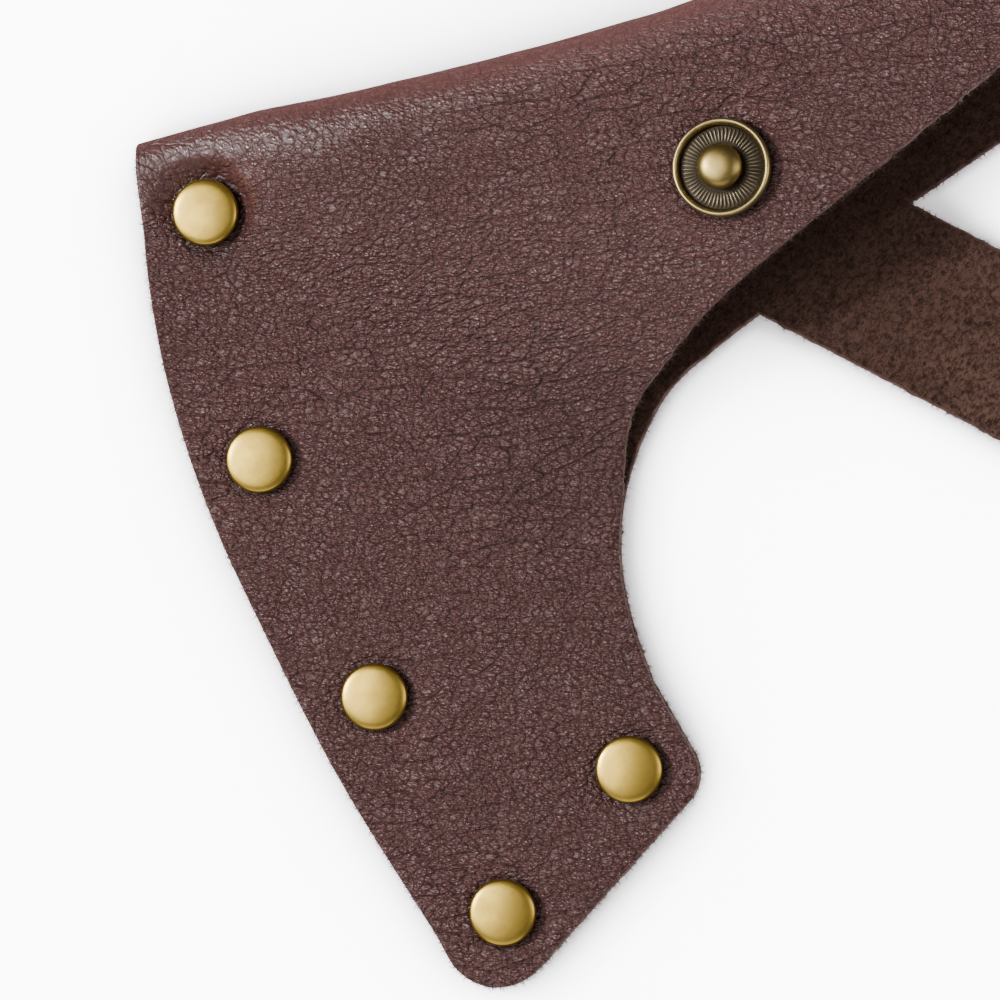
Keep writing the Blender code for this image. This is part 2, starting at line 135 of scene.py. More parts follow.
def spline(points, pitch=1.0 * MM):
    """Points about a pitch apart along a Catmull-Rom curve through the given ones."""
    ends = [Vector(points[0]) * 2 - Vector(points[1])]
    ends += [Vector(point) for point in points]
    ends += [Vector(points[-1]) * 2 - Vector(points[-2])]
    found = []
    for a, b, c, d in zip(ends, ends[1:], ends[2:], ends[3:]):
        steps = max(round((c - b).length / pitch), 1)
        for t in (step / steps for step in range(steps)):
            square, cube = 2 * a - 5 * b + 4 * c - d, 3 * b - a - 3 * c + d
            found.append(0.5 * (2 * b + (c - a) * t + square * t**2 + cube * t**3))
    return found + [ends[-2]]


def straight(start, end, pitch=1.0 * MM):
    """Points along a straight run, without its end."""
    steps = max(round((Vector(end) - Vector(start)).length / pitch), 1)
    return [Vector(start).lerp(Vector(end), step / steps) for step in range(steps)]


def fillet(before, corner, after, radius, steps=12):
    """An arc that rounds a corner between two straight runs."""
    before, corner, after = Vector(before), Vector(corner), Vector(after)
    one, two = (before - corner).normalized(), (after - corner).normalized()
    half = one.angle(two) / 2
    centre = corner + (one + two).normalized() * radius / sin(half)
    start = corner + one * radius / tan(half) - centre
    sweep = (pi - 2 * half) * (1 if one.angle_signed(two) > 0 else -1)
    return [centre + Matrix.Rotation(sweep * step / steps, 2) @ start for step in range(steps + 1)]


def in_mm(points):
    return [Vector(point) * MM for point in points]


def fold_radius(x):
    return FOLD_RADIUS + FOLD_FLARE * np.maximum(x, 0.0)


def fold_rise(x):
    pressed = 1.2 * MM * np.exp(-(((x - RIVETS[0].x) / (9 * MM)) ** 2))
    return 2 * fold_radius(x) - 2 * LEATHER - GAP - pressed


def cone_rise(x, y):
    slope = (-y - fold_radius(x)) / (x - APEX)
    return fold_rise(x) * (1 - ease((slope - PLATEAU) / (CONTACT - PLATEAU)))


STUD_HEIGHT = FRONT_TOP + float(cone_rise(STUD.x, STUD.y))


def front_height(x, y):
    """The front panel's grain side: a cone that rises from the rivets to the fold's wide end."""
    first = np.hypot(x - RIVETS[0].x, y - RIVETS[0].y)
    clamped = (1 - ease((first - 4.8 * MM) / (2.8 * MM))) * ease((-y - fold_radius(x)) / (1.5 * MM))
    height = FRONT_TOP + cone_rise(x, y) * (1 - clamped)
    seat = 1 - ease((np.hypot(x - STUD.x, y - STUD.y) - STUD_R - GAP) / (6 * MM))
    level = STUD_HEIGHT + tan(STUD_TILT) * ((x - STUD.x) * SWING.x + (y - STUD.y) * SWING.y)
    return height + (level - height) * seat


def quarter(x):
    return (fold_radius(x) - LEATHER / 2) * pi / 2


def unfold(point, side):
    """From a place in plan on the front (side 1) or back (side -1) to the flat blank."""
    x, y = point
    radius = float(fold_radius(x))
    across = quarter(x) * np.arccos(1 + y / radius) * 2 / pi if -y < radius else quarter(x) - y - radius
    return Vector((x, side * float(across)))


# The folded top isn't quite straight: places along it, and how far out it lies there from the plain fold line
FOLD_LINE = (
    (-6.0, 1.7), (12.0, 1.7), (23.0, 0.9), (33.0, 0.2), (44.0, -0.4), (56.0, -0.8), (66.0, -0.8),
    (78.0, -0.4), (95.0, 0.0))


def fold_line(x):
    places, amounts = np.array(FOLD_LINE).T * MM
    around = np.linspace(-6 * MM, 6 * MM, 7)
    return np.mean([np.interp(x + step, places, amounts) for step in around], axis=0)


def fold(x, across):
    """From arrays of places on the flat blank to the grain side in space."""
    radius, length = fold_radius(x), quarter(x)
    turn = np.minimum(np.abs(across) / length, 1.0) * pi / 2
    y = -radius * (1 - np.cos(turn)) - np.maximum(np.abs(across) - length, 0.0)
    centre = UNDERSIDE + radius
    bottom = centre - radius * np.sin(turn)
    rounded = centre + (FRONT_TOP + fold_rise(x) - centre) * np.sin(turn)
    top = np.where(np.abs(across) < length, rounded, front_height(x, y))
    pushed = fold_line(x) * np.exp(-((np.maximum(np.abs(across) - length / 2, 0.0) / (3.5 * MM)) ** 2))
    return np.stack([x, y + pushed, np.where(across < 0, bottom, top)], axis=-1)


def outward(x, across):
    """The grain side's outward direction on the folded blank."""
    step = 0.05 * MM
    one = fold(x + step, across) - fold(x - step, across)
    two = fold(x, across + step) - fold(x, across - step)
    normal = np.cross(two, one)
    return normal / np.linalg.norm(normal, axis=-1, keepdims=True)


def blank_outline():
    """The blank's outline, and the numbers of its points where the strap's cut begins and ends."""
    edge = spline([(x * MM, -share * BLADE_DEPTH) for share, x in CUTTING_EDGE])
    beard = in_mm(BEARD)
    toe = fillet(edge[-1], TOE, HEEL, TOE_RADIUS)
    heel = fillet(TOE, HEEL, beard[0], HEEL_RADIUS)
    blade = edge[:-1] + straight(edge[-1], toe[0]) + toe[:-1] + straight(toe[-1], heel[0]) + heel[:-1]
    blade += straight(heel[-1], beard[0])
    root_half = STRAP_WIDTH / 2 / cos(STRAP_HEADING + pi / 2 - ROOT_HEADING)
    crease = Vector((cos(ROOT_HEADING), sin(ROOT_HEADING))) * root_half
    lower, upper = STRAP_ROOT - crease, STRAP_ROOT + crease
    cut_low = STRAP_ROOT + ALONG * STUB - ACROSS * STRAP_WIDTH / 2
    cut_high = STRAP_ROOT + ALONG * STUB + ACROSS * STRAP_WIDTH / 2
    back = blade + spline(beard + in_mm(BACK_EDGE) + [lower])[:-1] + straight(lower, cut_low)
    cut_from = len(back)
    back += straight(cut_low, cut_high) + [cut_high]
    cut_to = len(back)
    back += straight(cut_high, upper)[1:]
    end_low = Vector((FOLD_LENGTH - 15 * MM, -BACK_END - 5 * MM))
    end_corner = fillet(end_low, (FOLD_LENGTH, -BACK_END), (FOLD_LENGTH, 0.0), END_RADIUS)
    back += spline([upper, upper + Vector((13 * MM, 4.5 * MM)), end_low])[:-1]
    back += straight(end_low, end_corner[0]) + end_corner[:-1]
    front_low = Vector((FOLD_LENGTH - 12 * MM, -FRONT_END - 5 * MM))
    front_corner = fillet(front_low, (FOLD_LENGTH, -FRONT_END), (FOLD_LENGTH, 0.0), END_RADIUS / 2)
    front = blade + spline(beard + in_mm(FRONT_EDGE) + [front_low])[:-1]
    front += straight(front_low, front_corner[0]) + front_corner
    outline = [unfold(point, -1) for point in back]
    outline += straight(unfold(end_corner[-1], -1), unfold(front_corner[-1], 1))
    outline += [unfold(point, 1) for point in reversed(front[1:])]
    return np.array(outline), cut_from, cut_to


# The leather's dents: how deep, how far out they stay full and how far they fade, in mm, and by what power
CAP_DENT = 0.42, 3.9, 1.5, 1.5
STUD_DENT = 0.2, 6.0, 1.8, 2
BUTTON_DENT = 0.2, 7.0, 1.5, 2

# The cut edge's profile: how far in from the outline each ring is, and how deep below the grain side
EDGE_RINGS = (
    (0.36, 0.0), (0.20, 0.04), (0.06, 0.17), (0.0, 0.40), (0.02, 0.95), (0.0, 1.5), (0.05, 1.8), (0.18, 1.96))


def crossings(outline, spots):
    """Which spots lie inside the outline."""
    inside = np.zeros(len(spots), bool)
    for a, b in zip(outline, np.roll(outline, -1, axis=0)):
        if a[1] == b[1]:
            continue
        spans = (a[1] > spots[:, 1]) != (b[1] > spots[:, 1])
        inside ^= spans & (spots[:, 0] < a[0] + (spots[:, 1] - a[1]) / (b[1] - a[1]) * (b[0] - a[0]))
    return inside


def edge_distance(outline, spots):
    """How far each spot is from the outline."""
    nearest = np.full(len(spots), 1.0)
    for a, b in zip(outline, np.roll(outline, -1, axis=0)):
        run = b - a
        t = np.clip(((spots - a) @ run) / max(run @ run, 1e-12), 0, 1)
        nearest = np.minimum(nearest, np.linalg.norm(spots - a - t[:, None] * run, axis=1))
    return nearest


def halved(spots, faces):
    """Every triangle cut in four, with its new corners in the middle of its sides."""
    sides = np.sort(np.concatenate([faces[:, [0, 1]], faces[:, [1, 2]], faces[:, [2, 0]]]), axis=1)
    kept, where = np.unique(sides, axis=0, return_inverse=True)
    middles = (spots[kept[:, 0]] + spots[kept[:, 1]]) / 2
    one, two, three = np.split(where.reshape(-1) + len(spots), 3)
    a, b, c = faces.T
    quarters = (a, one, three), (one, b, two), (three, two, c), (one, two, three)
    return np.concatenate([spots, middles]), np.concatenate([np.stack(corners, 1) for corners in quarters])


def border(faces):
    """The outline's points in order, from the sides that only one triangle has."""
    sides = np.concatenate([faces[:, [0, 1]], faces[:, [1, 2]], faces[:, [2, 0]]])
    both = {(a, b) for a, b in sides.tolist()}
    following = {a: b for a, b in both if (b, a) not in both}
    loop = [min(following)]
    while following[loop[-1]] != loop[0]:
        loop.append(following[loop[-1]])
    return np.array(loop)


def dent(x, y, centre, shape):
    depth, full, fade, power = shape
    away = np.hypot(x - centre.x, y - centre.y)
    return depth * MM * np.exp(-((np.maximum(away - full * MM, 0) / (fade * MM)) ** power))


def pressed_in(x, y, front):
    """How far the grain side is pressed in: at the caps, the stud in front and the snap's button behind."""
    depth = sum(dent(x, y, rivet, CAP_DENT) for rivet in RIVETS)
    return depth + front * dent(x, y, STUD, STUD_DENT) + (1 - front) * dent(x, y, SNAP, BUTTON_DENT)


def leather_points(spots, depth):
    """Places in space for blank places at a depth below the grain side, with the leather's unevenness."""
    x, across = spots[:, 0], spots[:, 1]
    grain, normal = fold(x, across), outward(x, across)
    front = across > 0
    share = np.clip(depth / LEATHER, 0, 1)
    swell = 0.10 * MM * ripple(x, across, 9 * MM, 3) + 0.05 * MM * ripple(x, across, 4 * MM, 4)
    sunk = pressed_in(grain[:, 0], grain[:, 1], front) - swell
    flesh = 0.07 * MM * ripple(x, across, 2.2 * MM, 5)
    past_x, past_y = grain[:, 0] - STRAP_ROOT.x, grain[:, 1] - STRAP_ROOT.y
    ridge = sin(ROOT_HEADING) * past_x - cos(ROOT_HEADING) * past_y
    flesh += np.where(across < -quarter(x), 0.28 * MM * np.exp(-((ridge / (1.3 * MM)) ** 2)), 0.0)
    down = depth + sunk * (1 - share) + flesh * share
    return grain - normal * down[:, None]


def mesh_piece(name, points, faces, materials=None, uv=None, slots=None):
    """A new object from arrays, with one UV place for each point and one material slot for each face."""
    data = bpy.data.meshes.new(name)
    data.from_pydata(points.tolist(), [], [tuple(face) for face in faces])
    for material in materials or []:
        data.materials.append(material)
    if slots is not None:
        data.polygons.foreach_set("material_index", np.asarray(slots, np.int32))
    if uv is not None:
        layer = data.uv_layers.new(name="blank")
        corner = np.empty(len(data.loops), np.int32)
        data.loops.foreach_get("vertex_index", corner)
        layer.data.foreach_set("uv", np.asarray(uv, np.float32)[corner].reshape(-1))
    data.shade_smooth()
    made = bpy.data.objects.new(name, data)
    bpy.context.scene.collection.objects.link(made)
    return made


def in_frame(points):
    return points + np.array([*PLAN_TO_FRAME, 0.0])


def leather_mesh(name, outline, cuts, materials, pitch=3.6 * MM):
    """A closed sheet of leather from its outline on the flat blank: grain side, flesh side, edge between.
    Each cut is a run of the outline that another sheet carries on from, and the middle of that run."""
    low, high = outline.min(0), outline.max(0)
    columns, rows = np.meshgrid(np.arange(low[0], high[0], pitch), np.arange(low[1], high[1], pitch * 0.87))
    columns = columns + (np.arange(len(rows)) % 2)[:, None] * pitch / 2
    inner = np.stack([columns.ravel(), rows.ravel()], 1)
    inner = inner[crossings(outline, inner)]
    inner = inner[edge_distance(outline, inner) > 0.5 * pitch]
    ahead, behind = np.roll(outline, -1, axis=0), np.roll(outline, 1, axis=0)
    along = (ahead - behind) / np.linalg.norm(ahead - behind, axis=1, keepdims=True)
    inward = np.stack([-along[:, 1], along[:, 0]], 1)
    inward *= np.sign(np.sum(outline[:, 0] * ahead[:, 1] - ahead[:, 0] * outline[:, 1]))
    amount = np.ones(len(outline))
    for cut_from, cut_to, middle in cuts:
        amount[cut_from:cut_to] = 0.0
        for corner in (cut_from, cut_to - 1):
            amount[corner] = 1.0
            inward[corner] = (middle - outline[corner]) / np.linalg.norm(middle - outline[corner])
    first = outline + inward * (amount * EDGE_RINGS[0][0] * MM)[:, None]
    corners = [Vector(point) for point in np.concatenate([first, inner])]
    flat, _, faces, _, _, _ = delaunay_2d_cdt(corners, [], [list(range(len(first)))], 1, 0.001 * MM)
    spots, faces = np.array([tuple(point) for point in flat]), np.array(faces)
    for _ in range(2):
        spots, faces = halved(spots, faces)
    loop = border(faces)
    ring, count = spots[loop], len(spots)
    nearest = np.array([np.argmin(np.sum((first - point) ** 2, 1)) for point in ring])
    side, reach = inward[nearest], amount[nearest]
    start = ring - side * (reach * EDGE_RINGS[0][0] * MM)[:, None]
    wobble = 0.20 * MM * ripple(ring[:, 0] * 1.7, ring[:, 1] * 1.3, 1.7 * MM, 8)
    for cut_from, cut_to, _ in cuts:
        wobble *= np.minimum(edge_distance(outline[cut_from:cut_to], ring) / (3 * MM), 1.0)
    blocks = [leather_points(spots, np.zeros(count)), leather_points(spots, np.full(count, LEATHER))]
    uv, chain = [spots, spots], [loop]
    index = np.arange(len(loop))
    for inset, depth in EDGE_RINGS[1:]:
        rough = wobble * ease((depth - 0.2) / 1.2)
        spot = start + side * (reach * (inset * MM + rough))[:, None]
        chain.append(count * 2 + (len(chain) - 1) * len(loop) + index)
        blocks.append(leather_points(spot, np.full(len(loop), depth * MM)))
        uv.append(spot)
    chain.append(loop + count)
    shells = [faces[:, ::-1], faces + count]
    slots = [np.zeros(len(faces)), np.full(len(faces), 2)]
    for step, (upper, lower) in enumerate(zip(chain, chain[1:])):
        shells.append(np.stack([upper, np.roll(upper, -1), np.roll(lower, -1), lower], 1))
        slots.append(np.full(len(loop), 0 if step < 2 else 1))
    every = [tuple(face) for shell in shells for face in shell]
    uv = np.concatenate(uv) / BLANK_SPAN + np.array([0.1, 0.5])
    made = mesh_piece(name, in_frame(np.concatenate(blocks)), every, materials, uv, np.concatenate(slots))
    on_cut = set(np.concatenate([ends[reach == 0.0] for ends in chain]).tolist()) if cuts else set()
    sharp = np.array([a in on_cut and b in on_cut for a, b in made.data.edge_keys])
    made.data.attributes.new("sharp_edge", "BOOLEAN", "EDGE").data.foreach_set("value", sharp)
    return made


def numbered(values):
    """Sockets by their numbers."""
    return {str(number): value for number, value in enumerate(values)}


class Tone:
    """A shader value that works in Python expressions: each operator adds its Math node."""

    def __init__(self, finish, socket):
        self.finish, self.socket = finish, socket

    def math(self, operation, *values):
        return self.finish.node("ShaderNodeMath", {"operation": operation}, **numbered(values))

    def __add__(self, other):
        return self.math("ADD", self, other)

    def __radd__(self, other):
        return self.math("ADD", other, self)

    def __sub__(self, other):
        return self.math("SUBTRACT", self, other)

    def __rsub__(self, other):
        return self.math("SUBTRACT", other, self)

    def __mul__(self, other):
        return self.math("MULTIPLY", self, other)

    def __truediv__(self, other):
        return self.math("DIVIDE", self, other)

    def step(self, low, high, start=0.0, end=1.0):
        """start below low, end above high, and a smooth step between."""
        settings = {"interpolation_type": "SMOOTHSTEP"}
        values = {"Value": self, "From Min": low, "From Max": high, "To Min": start, "To Max": end}
        return self.finish.node("ShaderNodeMapRange", settings, **values)


def fill(tree, node, sockets):
    """Give a node's sockets their values or links, each by its number or by its name with _ for a space."""
    for key, value in sockets.items():
        socket = node.inputs[int(key)] if key.isdigit() else node.inputs[key.replace("_", " ")]
        value = value.socket if isinstance(value, Tone) else value
        if isinstance(value, bpy.types.NodeSocket):
            tree.links.new(value, socket)
        else:
            socket.default_value = value


def new_node(tree, kind, settings=None, **sockets):
    """A node with its settings made first, then its sockets."""
    made = tree.nodes.new(kind)
    for key, value in (settings or {}).items():
        setattr(made, key, value)
    fill(tree, made, sockets)
    return made


class Finish:
    """A material under construction."""

    def __init__(self, name):
        self.material = bpy.data.materials.new(name)
        self.material.use_nodes = True
        self.tree = self.material.node_tree
        self.shader = self.tree.nodes["Principled BSDF"]

    def node(self, kind, settings=None, output=0, **sockets):
        return Tone(self, new_node(self.tree, kind, settings, **sockets).outputs[output])

    def mixed(self, share, one, two):
        """A colour between two, each given as a Tone or three numbers."""
        one, two = ((*c, 1.0) if isinstance(c, tuple) else c for c in (one, two))
        return self.node("ShaderNodeMix", {"data_type": "RGBA"}, 2, **{"0": share, "6": one, "7": two})

    def noise(self, place, size, detail=2.0, roughness=0.5, seed=0.0, colour=False):
        """Noise whose lumps are about this many millimetres across."""
        sockets = {"Vector": place, "W": seed, "Scale": 1.0 / size, "Detail": detail, "Roughness": roughness}
        return self.node("ShaderNodeTexNoise", {"noise_dimensions": "4D"}, int(colour), **sockets)

    def vector(self, operation, *values, output=0):
        return self.node("ShaderNodeVectorMath", {"operation": operation}, output, **numbered(values))

    def mapped(self, place, stretch, turn):
        """Places turned and stretched."""
        sockets = {"Vector": place, "Rotation": turn, "Scale": stretch}
        return self.node("ShaderNodeMapping", {"vector_type": "TEXTURE"}, **sockets)

    def object_mm(self, stretch=(1.0, 1.0, 1.0), turn=0.0):
        """Object coordinates in millimetres, stretched and turned about the upright."""
        place = self.node("ShaderNodeTexCoord", {}, 3)
        return self.mapped(place, tuple(s / 1000.0 for s in stretch), (0.0, 0.0, turn))

    def blank_mm(self, stretch=(1.0, 1.0), turn=0.0):
        """The flat blank's own UV places in millimetres."""
        place = self.node("ShaderNodeUVMap", {"uv_map": "blank"})
        scale = (stretch[0] / (BLANK_SPAN / MM), stretch[1] / (BLANK_SPAN / MM), 1.0)
        return self.mapped(place, scale, (0.0, 0.0, turn))

    def bump(self, height, depth, strength=1.0, under=None):
        """A normal from a height between 0 and 1 that stands for this many millimetres."""
        sockets = {"Height": height, "Distance": depth * MM, "Strength": strength}
        if under is not None:
            sockets["Normal"] = under
        return self.node("ShaderNodeBump", {}, **sockets)

    def done(self, **sockets):
        """The material, with its shader's own sockets filled."""
        fill(self.tree, self.shader, sockets)
        return self.material


def warped(finish, place, size, amount, seed):
    """Places pushed about by noise, in millimetres."""
    push = finish.vector("SUBTRACT", finish.noise(place, size, 2.0, 0.5, seed, True), (0.5, 0.5, 0.5))
    return finish.vector("ADD", place, finish.vector("MULTIPLY", push, (amount, amount, amount)))


def cells(finish, place, size, feature="DISTANCE_TO_EDGE"):
    """A cell pattern: the distance to the cell's edge, or from its middle, as a share of the cell's size."""
    sockets = {"Vector": place, "Scale": 1.0 / size, "Randomness": 1.0}
    return finish.node("ShaderNodeTexVoronoi", {"voronoi_dimensions": "2D", "feature": feature}, **sockets)


def near(finish, place, centre, inside, outside):
    """1 within a distance of a spot on the blank, falling to 0 at a larger one, all in millimetres."""
    centre = (centre[0] + 0.1 * BLANK_SPAN / MM, centre[1] + 0.5 * BLANK_SPAN / MM, 0.0)
    return finish.vector("DISTANCE", place, centre, output=1).step(inside, outside, 1.0, 0.0)


# Where a soft patch of painted shade darkens the front panel, where its leather curves in.
HOLLOW_SHADE_SPOT = unfold(Vector((45 * MM, -53 * MM)), 1) / MM
# The grain's colours. The lightest is a painted highlight for the pebbles' crowns, and the darkest is a
# painted shade for the valleys, creases and dents.
GRAIN_PAINTED_HIGHLIGHT = (0.145, 0.066, 0.062)
GRAIN_MID = (0.066, 0.0235, 0.0215)
GRAIN_DARK = (0.046, 0.0142, 0.0122)
GRAIN_PAINTED_SHADE = (0.0240, 0.0070, 0.0060)


def grain_finish():
    """Pebbled grain: pebbles of about 1.1 mm, fine ones between them, and long soft creases across."""
    finish = Finish("pebbled_grain")
    place = finish.blank_mm()
    longer = finish.blank_mm((1.25, 0.85), radians(18.0))
    bent = warped(finish, warped(finish, longer, 3.2, 1.8, 1.0), 0.8, 0.4, 2.0)
    askew = warped(finish, finish.blank_mm((1.3, 0.8), radians(24.0)), 1.2, 0.8, 3.0)
    along = warped(finish, finish.blank_mm((4.0, 1.3), radians(9.0)), 3.0, 2.0, 4.0)
    along = warped(finish, along, 0.9, 0.8, 10.0)
    pebble, pebble_edge = cells(finish, bent, 1.15, "F1"), cells(finish, bent, 1.15)
    small, small_edge = cells(finish, askew, 0.55, "F1"), cells(finish, askew, 0.55)
    wrinkle = cells(finish, along, 2.0)
    patch = finish.noise(place, 26.0, 2.0, 0.55, 5.0)
    mottle = finish.noise(place, 5.0, 3.0, 0.6, 6.0)
    wander = finish.noise(place, 2.2, 2.0, 0.5, 7.0)
    fine = finish.noise(place, 0.24, 3.0, 0.62, 8.0)
    across = finish.node("ShaderNodeSeparateXYZ", {}, 1, Vector=place) - BLANK_SPAN / MM / 2
    relief = across.math("ABSOLUTE", across).step(3.0, 12.0, 0.30, 1.0)
    hollow_painted_shade = near(finish, place, HOLLOW_SHADE_SPOT, 4.0, 24.0)
    # Valleys: wide and deep in some places and almost closed in others
    width = wander.step(0.32, 0.68, 0.06, 0.22)
    valley = 1.0 - (pebble_edge / width).step(0.0, 1.0)
    nick = (1.0 - small_edge.step(0.0, 0.22)) * mottle.step(0.35, 0.62)
    crease = (1.0 - wrinkle.step(0.0, 0.075)) * patch.step(0.34, 0.62, 0.35, 1.0)
    crease = crease * wander.step(0.30, 0.52, 0.40, 1.0)
    dome = 1.0 - pebble.step(0.10, 0.80)
    knob = 1.0 - small.step(0.10, 0.75)
    height = 0.36 + dome * 0.25 + knob * 0.18 + fine * 0.14 - valley * 0.14 - nick * 0.08 - crease * 0.34
    # Painted shade: the valleys, nicks and creases are darkened in colour as well as sunk by the bump, less
    # so along the fold.
    shade = (valley * 0.26 + nick * 0.16 + crease * 0.46) * relief
    # Painted shade: the colour is darker, and less mottled, in the curved-in patch. It is also darker along
    # the fold's smooth rounded top, to tone down the lamp's light on the curve.
    lively = (patch.step(0.30, 0.70) * 0.6 + mottle.step(0.3, 0.7) * 0.4) * (1.0 - hollow_painted_shade * 0.8)
    tone = finish.mixed(lively, GRAIN_DARK, GRAIN_MID)
    tone = finish.mixed((1.0 - relief + hollow_painted_shade * 0.8).step(0.0, 1.0), tone, GRAIN_DARK)
    # Painted highlight: the crowns of the pebbles are lightened in colour.
    tone = finish.mixed(dome * knob * fine.step(0.30, 0.70) * 0.5, tone, GRAIN_PAINTED_HIGHLIGHT)
    tone = finish.mixed(shade * 1.1, tone, GRAIN_PAINTED_SHADE)
    # Painted shade: the leather is darkened round each rivet's cap and the stud, where the dents fall in
    # shade, and deepest above the first rivet, in the hollow between the fold and the cap.
    dent_painted_shade = near(finish, place, unfold(STUD, 1) / MM, 6.6, 7.6)
    for rivet in RIVETS:
        dent_painted_shade = dent_painted_shade.math("MAXIMUM", dent_painted_shade, near(finish, place, unfold(rivet, 1) / MM, 4.6, 6.0))
    above_first = unfold(RIVETS[0], 1) / MM + Vector((0.8, 3.2))
    dent_painted_shade = dent_painted_shade * 0.65 + near(finish, place, above_first, 2.6, 6.4) * 0.6
    tone = finish.mixed(dent_painted_shade.step(0.0, 1.0), tone, GRAIN_PAINTED_SHADE)
    rough = 0.35 + fine * 0.16 + shade * 0.40 + hollow_painted_shade * 0.12 - dome * knob * 0.20
    soft = finish.bump(finish.noise(place, 7.0, 2.0, 0.5, 9.0), 0.5, 0.8)
    normal = finish.bump(height * relief, 0.68, 1.0, soft)
    return finish.done(Base_Color=tone, Roughness=rough, Normal=normal, Specular_IOR_Level=0.42)


SUEDE_DARK = (0.0170, 0.0072, 0.0052)
SUEDE_LIGHT = (0.0760, 0.0385, 0.0285)
SUEDE_PAINTED_LIGHT = (0.1480, 0.0810, 0.0610)


def suede_finish():
    """Suede: matt, with a short nap lying this way and that, and painted light and shade along the strap:
    darker near its root, under the front panel's shade, and paler further out.
    """
    finish = Finish("suede")
    place = finish.object_mm()
    broad = finish.noise(place, 7.0, 3.0, 0.6, 1.0)
    tangled = warped(finish, place, 0.8, 1.1, 2.0)
    tufts = finish.noise(tangled, 0.66, 4.0, 0.80, 3.0)
    lying = warped(finish, finish.object_mm((1.3, 0.42, 0.5), radians(35.0)), 1.2, 1.2, 4.0)
    hairs = finish.noise(lying, 0.52, 4.0, 0.78, 5.0)
    fibre = tufts * 0.60 + hairs * 0.40
    root = STRAP_ROOT + PLAN_TO_FRAME
    reach = finish.vector("DOT_PRODUCT", place, (ALONG.x, ALONG.y, 0.0), output=1) - root.dot(ALONG) / MM
    # Painted light and shade: the suede is paler further along the strap and darker at its root, where the
    # front panel shades it.
    wear_and_painted_light = (reach + broad * 24.0).step(14.0, 62.0)
    tone = finish.mixed(fibre.step(0.40, 0.60), SUEDE_DARK, SUEDE_LIGHT)
    tone = finish.mixed(wear_and_painted_light * fibre.step(0.41, 0.59) * 0.95, tone, SUEDE_PAINTED_LIGHT)
    tone = finish.mixed(broad.step(0.55, 0.75) * 0.35, tone, SUEDE_DARK)
    normal = finish.bump(fibre, 0.80, 1.0, finish.bump(broad, 0.5, 0.6))
    return finish.done(
        Base_Color=tone, Roughness=0.94, Normal=normal, Specular_IOR_Level=0.12, Sheen_Weight=0.10,
        Sheen_Roughness=0.5, Sheen_Tint=(0.55, 0.38, 0.30, 1.0))


EDGE_DARK = (0.030, 0.0135, 0.0105)
EDGE_PALE = (0.095, 0.050, 0.040)
FIBRE_DARK = (0.026, 0.0125, 0.0095)
FIBRE_PALE = (0.085, 0.050, 0.038)


def edge_finish():
    """The raw cut edge: compressed fibres in streaky dark and pale layers, with fine specks."""
    finish = Finish("cut_edge")
    place = finish.object_mm()
    layer = finish.noise(finish.object_mm((1.0, 1.0, 0.18)), 0.5, 3.0, 0.7, 1.0)
    speck = finish.noise(place, 0.18, 3.0, 0.7, 2.0)
    tone = finish.mixed(layer.step(0.3, 0.7) * 0.7 + speck * 0.3, EDGE_DARK, EDGE_PALE)
    normal = finish.bump(layer * 0.6 + speck * 0.4, 0.30)
    return finish.done(Base_Color=tone, Roughness=0.88, Normal=normal, Specular_IOR_Level=0.2)


pebbled_grain = grain_finish()
cut_edge = edge_finish()
suede = suede_finish()
fibre = Finish("loose_fibre")
fibre_share = fibre.noise(fibre.object_mm(), 0.8, 2.0).step(0.3, 0.7)
loose_fibre = fibre.done(Base_Color=fibre.mixed(fibre_share, FIBRE_DARK, FIBRE_PALE), Roughness=0.9)


def nodes_tree(name, **inputs):
    """A Geometry Nodes tree with these inputs, each with its kind, and its Group Input's outputs."""
    tree = bpy.data.node_groups.new(name, "GeometryNodeTree")
    for key, kind in inputs.items():
        label = key.replace("_", " ")
        tree.interface.new_socket(label, in_out="INPUT", socket_type=f"NodeSocket{kind}")
    tree.interface.new_socket("Geometry", in_out="OUTPUT", socket_type="NodeSocketGeometry")
    return tree, tree.nodes.new("NodeGroupInput").outputs


